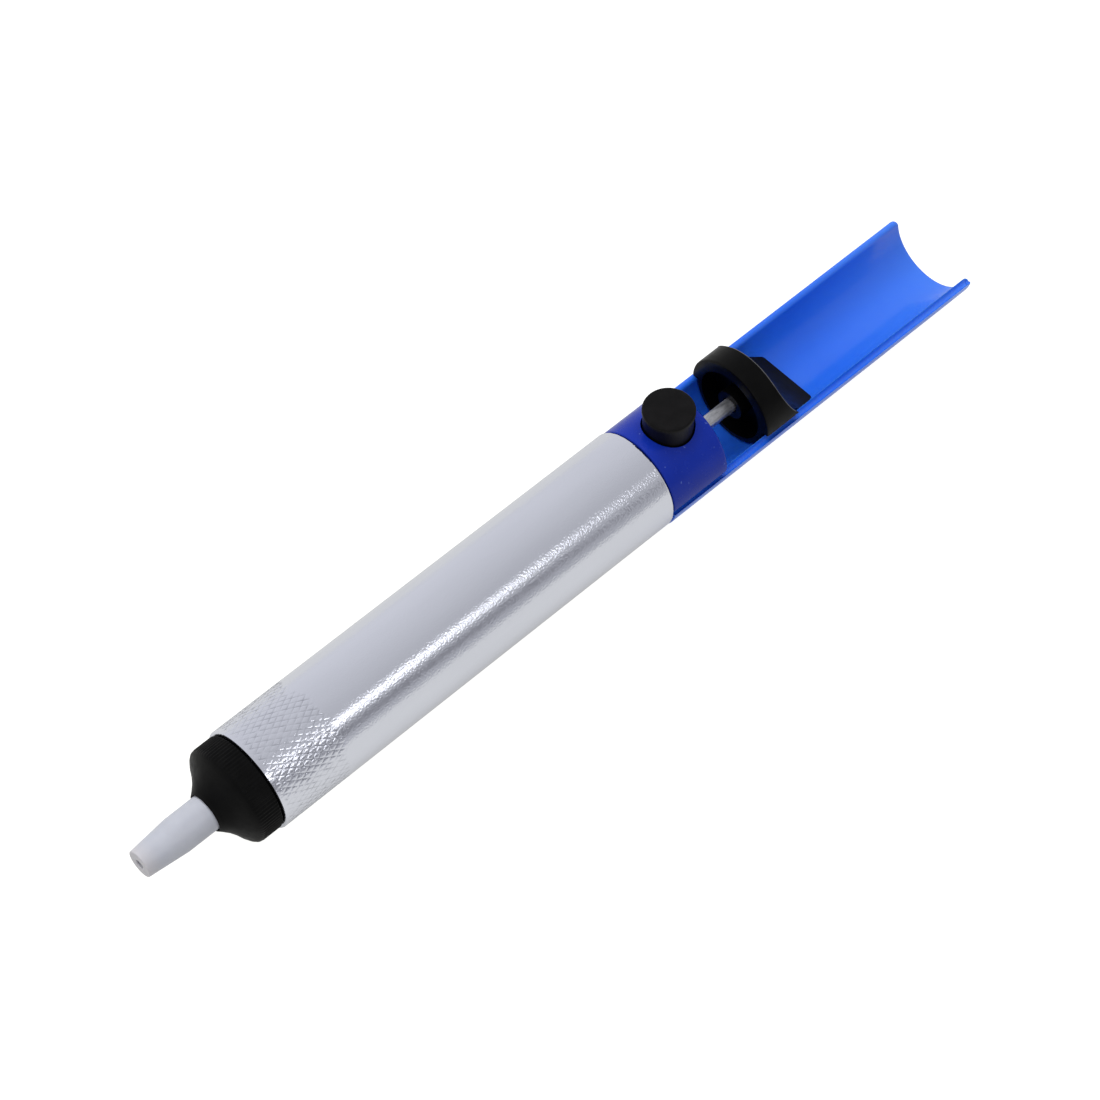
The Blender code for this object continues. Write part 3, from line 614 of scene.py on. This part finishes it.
# %% Turn the nose and flute its rim
NOSE_FRONT, NOSE_END, NOSE_R = reach("nose_cone")
NOZZLE_FRONT, NOZZLE_END, FLANGE_R = reach("nozzle")
NOZZLE_R = 3.42
PLUG_R = BORE_R - 0.3
FLUTES = 84
RIM_LENGTH = 3.9
SHOULDER = -0.3 - RIM_LENGTH
NOSE_R = NOSE_R if NOSE_R < BARREL_R else BARREL_R - 0.45
cone = [(SHOULDER - 0.8, 0.5), (SHOULDER - 1.4, 1.3), (SHOULDER - 2.2, 2.7),
        (SHOULDER - 3.2, 4.05), (SHOULDER - 4.3, 5.15)]
nose = turned(
    [(NOSE_END, 6.0), (NOSE_END, PLUG_R - 0.3), (NOSE_END - 0.3, PLUG_R), (8.35, PLUG_R), (8.35, 7.05),
     (6.05, 7.05), (6.05, PLUG_R), (-0.3, PLUG_R), (-0.3, NOSE_R - 0.12), (-0.45, NOSE_R)]
    + [(-0.45 - 0.5 * step, NOSE_R) for step in range(1, 8)]
    + [(SHOULDER - 0.35, NOSE_R - 0.12)]
    + [(along, NOSE_R - drop) for along, drop in cone]
    + [(NOSE_FRONT + 0.05, NOZZLE_R + 0.42), (NOSE_FRONT, NOZZLE_R + 0.3), (-5.0, NOZZLE_R + 0.28),
       (-5.0, FLANGE_R + 0.3), (0.2, FLANGE_R + 0.3), (0.2, 6.0)],
    steps=FLUTES * 4)
for vert in nose.verts:
    along = (vert.co.x - FRONT) / MM
    up, across = vert.co.z - AXIS, vert.co.y
    radius = hypot(across, up)
    if radius > (NOSE_R - 0.05) * MM and -4.3 < along < -0.4:
        angle = atan2(up, across)
        part = (angle * FLUTES / (2 * pi)) % 1.0
        radius -= 0.17 * MM * (0.5 - 0.5 * cos(2 * pi * part))
        vert.co.y, vert.co.z = radius * cos(angle), AXIS + radius * sin(angle)
piece("nose_moulding", nose, "nose", nose_black, ["nose_cone"])

# %% [markdown]
# ## The nozzle
# A short tube of white PTFE, tapered at the front. Its bore narrows at the tip, where the solder
# goes in.

# %% Turn the nozzle
TIP_R, TIP_BORE_R, NOZZLE_BORE_R, TAPER = 2.66, 0.9, 1.9, 8.0
nozzle = turned([
    (NOZZLE_END, FLANGE_R), (NOZZLE_END - 1.5, FLANGE_R), (NOZZLE_END - 1.5, NOZZLE_R),
    (NOZZLE_FRONT + TAPER, NOZZLE_R), (NOZZLE_FRONT, TIP_R),
    (NOZZLE_FRONT, TIP_BORE_R), (NOZZLE_FRONT + 5, TIP_BORE_R),
    (NOZZLE_FRONT + 6, NOZZLE_BORE_R), (NOZZLE_END, NOZZLE_BORE_R)], steps=96)
softened(nozzle, 0.16)
piece("nozzle_tube", nozzle, "nose", ptfe, ["nozzle"])

# %% [markdown]
# ## The collar
# The collar closes the barrel's rear and guides the button. It is turned, then drilled: a Boolean
# modifier takes a cylinder out of it. Its lower half is narrower, to sit inside the guard.

# %% Boolean helper


def solid(name, bm):
    """A loose object for a Boolean, from a bmesh."""
    mesh = bpy.data.meshes.new(name)
    bm.to_mesh(mesh)
    bm.free()
    made = bpy.data.objects.new(name, mesh)
    scene.collection.objects.link(made)
    return made


def joined(base, *steps):
    """Apply (operation, tool) Booleans in turn and return a bmesh of the result."""
    for operation, tool in steps:
        cut = base.modifiers.new("cut", "BOOLEAN")
        cut.operation, cut.solver, cut.object = operation, "EXACT", tool
    shaped = base.evaluated_get(bpy.context.evaluated_depsgraph_get())
    bm = bmesh.new()
    bm.from_mesh(shaped.to_mesh())
    for used in [base] + [tool for operation, tool in steps]:
        bpy.data.objects.remove(used, do_unlink=True)
    bmesh.ops.remove_doubles(bm, verts=bm.verts, dist=2e-6)
    return creased(bm)


def block(low, high):
    """A box between two corners given along, across and up in millimetres."""
    bm = bmesh.new()
    bmesh.ops.create_cube(bm, size=1.0)
    size = spot(*high) - spot(*low)
    bmesh.ops.scale(bm, vec=size, verts=bm.verts)
    bmesh.ops.translate(bm, vec=(spot(*high) + spot(*low)) / 2, verts=bm.verts)
    return bm


print("Boolean helpers ready")

# %% Turn and drill the collar
COLLAR_FRONT, COLLAR_END, _ = reach("collar")
COLLAR_X = BARREL_LENGTH + 0.3
COLLAR_R = BARREL_R - 0.2
INNER_R = 8.35
GUARD_TOP = (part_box("guard")[1].z - AXIS) / MM
SHAFT_R = 4.6
ROD_FRONT, ROD_END, ROD_R = reach("piston_rod")
ROD_HOLE_R = ROD_R + 0.3
PLUG_RING = BARREL_LENGTH - 5.0
body_solid = turned([
    (COLLAR_END, 0), (COLLAR_END, INNER_R - 0.5), (COLLAR_END - 0.15, INNER_R - 0.15),
    (COLLAR_END - 0.5, INNER_R), (BARREL_LENGTH, INNER_R), (BARREL_LENGTH, PLUG_R),
    (PLUG_RING + 1.15, PLUG_R), (PLUG_RING + 1.15, 7.05), (PLUG_RING - 1.15, 7.05),
    (PLUG_RING - 1.15, PLUG_R), (COLLAR_FRONT + 0.4, PLUG_R), (COLLAR_FRONT, PLUG_R - 0.4),
    (COLLAR_FRONT, 0)], closed=False)
upper = turned([
    (COLLAR_END, 0), (COLLAR_END, COLLAR_R - 0.75), (COLLAR_END - 0.07, COLLAR_R - 0.42),
    (COLLAR_END - 0.24, COLLAR_R - 0.17), (COLLAR_END - 0.45, COLLAR_R - 0.05),
    (COLLAR_END - 0.7, COLLAR_R), (COLLAR_X + 0.15, COLLAR_R), (COLLAR_X, COLLAR_R - 0.15),
    (COLLAR_X, 0)], closed=False)
upper_solid = joined(solid("upper", upper),
                     ("DIFFERENCE", solid("trim", block((80, -15, -15), (120, 15, GUARD_TOP + 0.3)))))
hole = turned([(15, 0), (15, SHAFT_R + 0.3), (-7.35, SHAFT_R + 0.3), (-7.35, 0)], axis="Z", closed=False,
              steps=96)
rod_hole = turned([(COLLAR_END + 2, 0), (COLLAR_END + 2, ROD_HOLE_R), (COLLAR_FRONT + 4.3, ROD_HOLE_R),
                   (COLLAR_FRONT + 4.3, 3.3), (COLLAR_FRONT - 2, 3.3), (COLLAR_FRONT - 2, 0)],
                  closed=False, steps=48)
collar = joined(solid("collar_body", body_solid), ("UNION", solid("upper_half", upper_solid)),
                ("DIFFERENCE", solid("button_hole", hole)), ("DIFFERENCE", solid("rod_hole", rod_hole)))


def on_button_hole(edge):
    """Whether an edge lies where the button's hole meets the collar's round top."""
    for vert in edge.verts:
        away = hypot((vert.co.x - spot(BUTTON_X, 0, 0).x), vert.co.y) / MM
        if abs(away - SHAFT_R - 0.3) > 0.02 or (vert.co.z - AXIS) / MM < 5:
            return False
    return True


softened(collar, 0.22, segments=3, least=10, chosen=on_button_hole)
piece("collar_moulding", collar, "frame", collar_blue, ["collar"])

# %% [markdown]
# ## The guard
# The guard is half a tube with rounded edges and corners. It is lofted: loops of points with the
# same count are laid across it at stations along the axis, and `bridge_loops` skins each pair.
# Towards its end the loops get lower, for the round corners, and thinner, for the round end.

# %% Loft the guard
GUARD_END = reach("guard")[1]
GUARD_R = AXIS / MM - 0.005
GUARD_INNER_R = GUARD_R - 1.5 + 0.03
CORNER_R = 1.4


def guard_loop(bm, along, drop, thin):
    """A closed loop across the guard. Drop lowers its edges, thin takes off both its faces."""
    outer, inner = GUARD_R - thin, GUARD_INNER_R + thin
    middle, half = (outer + inner) / 2, (outer - inner) / 2
    edge = asin((GUARD_TOP - drop - half) / middle)
    sweep = pi + 2 * edge
    verts = []
    for step in range(97):
        angle = -pi - edge + sweep * step / 96
        verts.append((outer * cos(angle), outer * sin(angle)))
    for step in range(1, 8):
        swing = edge + pi * step / 8
        verts.append((middle * cos(edge) + half * cos(swing), middle * sin(edge) + half * sin(swing)))
    for step in range(97):
        angle = edge - sweep * step / 96
        verts.append((inner * cos(angle), inner * sin(angle)))
    for step in range(1, 8):
        swing = -edge + pi * step / 8
        verts.append((-middle * cos(edge) + half * cos(swing), middle * sin(edge) - half * sin(swing)))
    made = [bm.verts.new(spot(along, across, up)) for across, up in verts]
    return [bm.edges.new((made[i], made[(i + 1) % len(made)])) for i in range(len(made))]


stations = [(COLLAR_X, 0, 0.12), (COLLAR_X + 0.12, 0, 0)]
stations += [(COLLAR_X + 0.12 + (GUARD_END - 2 - COLLAR_X) * step / 12, 0, 0) for step in range(1, 12)]
for step in range(17):
    swing = pi / 2 * step / 16
    along = GUARD_END - CORNER_R + CORNER_R * sin(swing)
    past = max(0.0, along - (GUARD_END - 0.62)) / 0.62
    stations.append((along, CORNER_R * (1 - cos(swing)) * 0.95, 0.62 * (1 - sqrt(max(0.0, 1 - past ** 2)))))
trough = bmesh.new()
loops = [guard_loop(trough, *station) for station in stations]
for first, second in zip(loops, loops[1:]):
    bmesh.ops.bridge_loops(trough, edges=first + second)
for end in (loops[0], loops[-1]):
    bmesh.ops.contextual_create(trough, geom=end)
bmesh.ops.recalc_face_normals(trough, faces=trough.faces)
piece("guard_trough", trough, "frame", guard_blue, ["guard"])

# %% [markdown]
# ## The plunger's knob
# The knob is a round head with a scoop for the thumb cut out of its back, and a shoe that slides in
# the guard. It is a union of two turned solids, less the scoop and the cup in its front.

# %% Shape the knob
KNOB_X, KNOB_END, KNOB_R = reach("knob")
SHOE_R = 8.35
SCOOP_TOP = (KNOB_X + 4.6, KNOB_R - 1.2)
SCOOP_LIP = (KNOB_END, -5.5)


def scoop_line(steps):
    """The scoop's line in side view, as one smooth Bezier from the rim down to the shoe's lip."""
    pulls = (SCOOP_TOP, (SCOOP_TOP[0], SCOOP_TOP[1] - 5.4),
             (SCOOP_LIP[0] - 6.4, SCOOP_LIP[1] + 2.7), SCOOP_LIP)
    line = []
    for step in range(steps + 1):
        t = step / steps
        shares = ((1 - t) ** 3, 3 * t * (1 - t) ** 2, 3 * t * t * (1 - t), t ** 3)
        line.append(tuple(sum(share * pull[k] for share, pull in zip(shares, pulls)) for k in (0, 1)))
    return line


def slab(outline, half_width):
    """A flat outline of (along, up) points, extruded square across the pump."""
    bm = bmesh.new()
    face = bm.faces.new([bm.verts.new(spot(along, -half_width, up)) for along, up in outline])
    grown = bmesh.ops.extrude_face_region(bm, geom=[face])
    moved = [item for item in grown["geom"] if isinstance(item, bmesh.types.BMVert)]
    bmesh.ops.translate(bm, vec=(0, 2 * half_width * MM, 0), verts=moved)
    bmesh.ops.recalc_face_normals(bm, faces=bm.faces)
    return bm


shoe = turned([(KNOB_END, 0), (KNOB_END, SHOE_R - 0.4), (KNOB_END - 0.12, SHOE_R - 0.12),
               (KNOB_END - 0.4, SHOE_R), (KNOB_X + 0.4, SHOE_R), (KNOB_X + 0.12, SHOE_R - 0.12),
               (KNOB_X, SHOE_R - 0.4), (KNOB_X, 0)], closed=False)
head = turned([(KNOB_END + 2, 0), (KNOB_END + 2, KNOB_R), (KNOB_X + 0.4, KNOB_R),
               (KNOB_X + 0.12, KNOB_R - 0.12), (KNOB_X, KNOB_R - 0.4), (KNOB_X, 0)], closed=False)
head = joined(solid("head", head),
              ("DIFFERENCE", solid("half", block((100, -15, -15), (150, 15, GUARD_TOP + 0.3)))))
scoop = slab(scoop_line(28) + [(KNOB_END + 5, -5.5), (KNOB_END + 5, 13), (SCOOP_TOP[0], 13)], 13)
cup = turned([(KNOB_X + 3.4, 2.9), (KNOB_X + 3.4, SHOE_R - 1.4), (KNOB_X - 2, SHOE_R - 1.0),
              (KNOB_X - 2, 2.9)])
INSERT_FRONT, INSERT_END, INSERT_R = reach("knob_insert")
POCKET_GAP = 0.3
pocket_front, pocket_end = INSERT_FRONT - POCKET_GAP, INSERT_END + POCKET_GAP
pocket_r = INSERT_R + POCKET_GAP
pocket = turned([(pocket_end, 0), (pocket_end, pocket_r), (pocket_front, pocket_r),
                 (pocket_front, ROD_HOLE_R), (KNOB_X - 2, ROD_HOLE_R), (KNOB_X - 2, 0)],
                closed=False, steps=48)
knob = joined(solid("shoe", shoe), ("UNION", solid("head_half", head)),
              ("DIFFERENCE", solid("scoop", scoop)), ("DIFFERENCE", solid("cup", cup)),
              ("DIFFERENCE", solid("pocket", pocket)))
piece("thumb_knob", knob, "plunger", knob_black, ["knob"])

# %% [markdown]
# Where the knob's round outside meets the scoop, a fine raised line runs along the edge, with a light
# grey painted highlight as its colour. It is a thin wire laid along that edge, made as a curve and then
# turned into a mesh.

# %% Lay the painted highlight line along the scoop's edge
# Painted highlight: the wire's light grey colour stands for the light that the edge catches.
edge_highlight_paint = black_plastic("painted_edge_highlight", (0.07, 0.07, 0.07), 0.30, 0.45, 0.003, 0.4)


def edge_points(side):
    """Where the scoop's line meets the knob's round outside, on one side of the pump."""
    points = []
    for step in range(13):
        up = KNOB_R - (KNOB_R - SCOOP_TOP[1]) * (step / 12) ** 2
        points.append((SCOOP_TOP[0], side * sqrt(max(0.0, KNOB_R ** 2 - up ** 2)), up))
    for along, up in scoop_line(28)[1:]:
        if up > GUARD_TOP + 0.9:
            points.append((along, side * sqrt(KNOB_R ** 2 - up ** 2), up))
    return points


def wire_piece(name, points, radius, body, surface, sides=8):
    """A thin round wire through points, as a mesh piece."""
    curve = bpy.data.curves.new(name, "CURVE")
    curve.dimensions = "3D"
    curve.bevel_depth = radius * MM
    curve.bevel_resolution = sides // 4
    curve.use_fill_caps = True
    line = curve.splines.new("POLY")
    line.points.add(len(points) - 1)
    for number, point in enumerate(points):
        line.points[number].co = (*spot(*point), 1)
    loose = bpy.data.objects.new(name, curve)
    mesh = bpy.data.meshes.new_from_object(loose)
    bpy.data.objects.remove(loose)
    made = bpy.data.objects.new(name, mesh)
    mesh.materials.clear()
    mesh.materials.append(surface)
    mesh.polygons.foreach_set("use_smooth", [True] * len(mesh.polygons))
    scene.collection.objects.link(made)
    if body is not None:
        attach(made, body)
    print(name, len(mesh.polygons), "faces")
    return made


wire_piece("scoop_highlight_wire", list(reversed(edge_points(-1))) + edge_points(1)[1:], 0.07, "plunger",
           edge_highlight_paint)

# %% [markdown]
# ## The button
# A round cap on a round shaft, with a window for the rod. The cap's edge is broken by a small bevel,
# and its top is flat.

# %% Turn the button
BUTTON_TOP = (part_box("button")[1].z - AXIS) / MM
BUTTON_FOOT = (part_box("button")[0].z - AXIS) / MM
CAP_R = (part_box("button")[1].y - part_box("button")[0].y) / 2 / MM
button = turned([
    (BUTTON_TOP, 0), (BUTTON_TOP, CAP_R - 0.45), (BUTTON_TOP - 0.04, CAP_R - 0.22),
    (BUTTON_TOP - 0.14, CAP_R - 0.08), (BUTTON_TOP - 0.32, CAP_R), (BUTTON_TOP - 0.9, CAP_R),
    (BUTTON_TOP - 1.0, CAP_R - 0.08), (BUTTON_TOP - 1.0, SHAFT_R), (BUTTON_FOOT, SHAFT_R),
    (BUTTON_FOOT, 0)], axis="Z", closed=False, steps=96)
button = joined(
    solid("button_body", button),
    ("DIFFERENCE", solid("window", block((BUTTON_X - 9, -1.88, -1.9), (BUTTON_X + 9, 1.88, 3.88)))),
    ("DIFFERENCE", solid("slot", block((BUTTON_X - 0.65, -3.45, -6), (BUTTON_X + 0.65, 3.45, -1.3)))))
piece("release_cap", button, "release_button", button_black, ["button"])

# %% [markdown]
# ## Rod, springs and the small parts
# The rod is turned with its two necks.

# %% Turn the rod
CLIP_X = reach("rod_clip")[0]
rod = turned([
    (ROD_END, 0), (ROD_END, ROD_R - 0.2), (ROD_END - 0.2, ROD_R), (BUTTON_X + 1.6, ROD_R),
    (BUTTON_X + 1.3, 0.9), (BUTTON_X - 1.3, 0.9), (BUTTON_X - 1.6, ROD_R), (CLIP_X + 0.9, ROD_R),
    (CLIP_X + 0.9, 0.93), (CLIP_X - 0.3, 0.93), (CLIP_X - 0.3, ROD_R), (ROD_FRONT, ROD_R),
    (ROD_FRONT, 0)], closed=False, steps=64)
piece("plunger_rod", rod, "plunger", rod_steel, ["piston_rod"])

# %% Wind the springs


def helix(start, length, mean_r, wire_r, turns, upright=False):
    """Points of a compression spring with closed ends, about the pump's axis or the button's."""
    total, per_turn = turns + 2, 28
    closed = 2.1 * wire_r
    points = []
    for number in range(int(total * per_turn) + 1):
        turn = number / per_turn
        lead = min(turn, 1.0) + max(0.0, turn - total + 1)
        rise = closed * lead + (length - 2 * wire_r - 2 * closed) * min(max(turn - 1, 0), turns) / turns
        swing = 2 * pi * turn
        along, ring = start + wire_r + rise, (mean_r * cos(swing), mean_r * sin(swing))
        points.append((BUTTON_X + ring[0], ring[1], along) if upright else (along, *ring))
    return points


spring_start, spring_end = reach("main_spring")[:2]
main_spring = wire_piece("main_coil", helix(spring_start, spring_end - spring_start, 6.1, 0.5, 10), 0.5,
                         None, spring_steel, sides=12)
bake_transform(main_spring)
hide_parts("main_spring")

low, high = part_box("button_spring")
spring_foot, spring_top = (low.z - AXIS) / MM, (high.z - AXIS) / MM
small_coil = helix(spring_foot, spring_top - spring_foot, 3.4, 0.2, 2.5, True)
button_coil = wire_piece("button_coil", small_coil, 0.2, None, spring_steel)
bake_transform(button_coil)
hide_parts("button_spring")

# %% [markdown]
# The rings, washers and bushes share one recipe: a square section between a node's two ends, its
# outside and its bore, spun and given a small bevel. The rubber rings are spun from a circle.

# %% Turn the rings, washers and bushes


def bore(node):
    """The radius of the hole through a turned node, in millimetres."""
    return min(hypot(vert.co.y, vert.co.z - AXIS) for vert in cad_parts[node].data.vertices) / MM


def washer(node, body, surface, edge=0.1):
    start, end, radius = reach(node)
    hole = bore(node)
    ring = turned([(start, hole), (start, radius), (end, radius), (end, hole)], steps=96)
    piece(node + "_ring", softened(ring, edge, segments=2), body, surface, [node])


def seal(node, body):
    start, end, radius = reach(node)
    section, middle = (end - start) / 2, (start + end) / 2
    circle = [(middle + section * cos(2 * pi * k / 16), radius - section + section * sin(2 * pi * k / 16))
              for k in range(16)]
    piece(node + "_seal", turned(circle, steps=96), body, rubber, [node])


washer("spring_seat", "frame", spring_steel)
washer("bumper_washer", "frame", rubber, 0.2)
washer("rod_bush", "frame", brass)
washer("nozzle_seal", "nose", rubber)
washer("nozzle_retainer", "nose", nylon)
washer("piston_washer", "plunger", spring_steel, 0.06)
washer("rod_clip", "plunger", spring_steel, 0.06)
washer("knob_insert", "plunger", brass)
seal("nose_o_ring", "nose")
seal("collar_o_ring", "frame")
seal("piston_o_ring", "plunger")

# %% Turn the piston and the cleaning pin
PISTON_FRONT, PISTON_END, PISTON_R = reach("piston")
GROOVE_HALF, GROOVE_R = 1.15, 7.05
groove_x = (PISTON_FRONT + PISTON_END) / 2
groove_front, groove_end = groove_x - GROOVE_HALF, groove_x + GROOVE_HALF
piston = turned([
    (PISTON_END, ROD_HOLE_R), (PISTON_END, PISTON_R), (groove_end, PISTON_R), (groove_end, GROOVE_R),
    (groove_front, GROOVE_R), (groove_front, PISTON_R), (PISTON_FRONT, PISTON_R),
    (PISTON_FRONT, ROD_HOLE_R)])
piece("piston_body", softened(piston, 0.25), "plunger", nylon, ["piston"])

PIN_FRONT, PIN_END, PIN_R = reach("cleaning_pin")
WIRE_R = 0.6
pin = turned([(PIN_END, 0), (PIN_END, PIN_R), (PIN_END - 2.0, PIN_R), (PIN_END - 3.0, WIRE_R),
              (PIN_FRONT + 1.2, WIRE_R), (PIN_FRONT, WIRE_R / 2), (PIN_FRONT, 0)], closed=False, steps=48)
piece("nozzle_pin", pin, "plunger", rod_steel, ["cleaning_pin"])

# %% [markdown]
# Two small steel parts are flat-sided, so their engineering shapes serve as they are. They take the
# same steel as the springs.

# %% Finish the nut and the latch plate
for name in ("piston_nut", "latch_plate"):
    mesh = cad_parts[name].data
    mesh.materials.clear()
    mesh.materials.append(spring_steel)
print("the nut and the latch plate keep their engineering shape")

# %% Measure the dressed box
low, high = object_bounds()
print("dressed box", [round(v / MM, 2) for v in low], [round(v / MM, 2) for v in high])
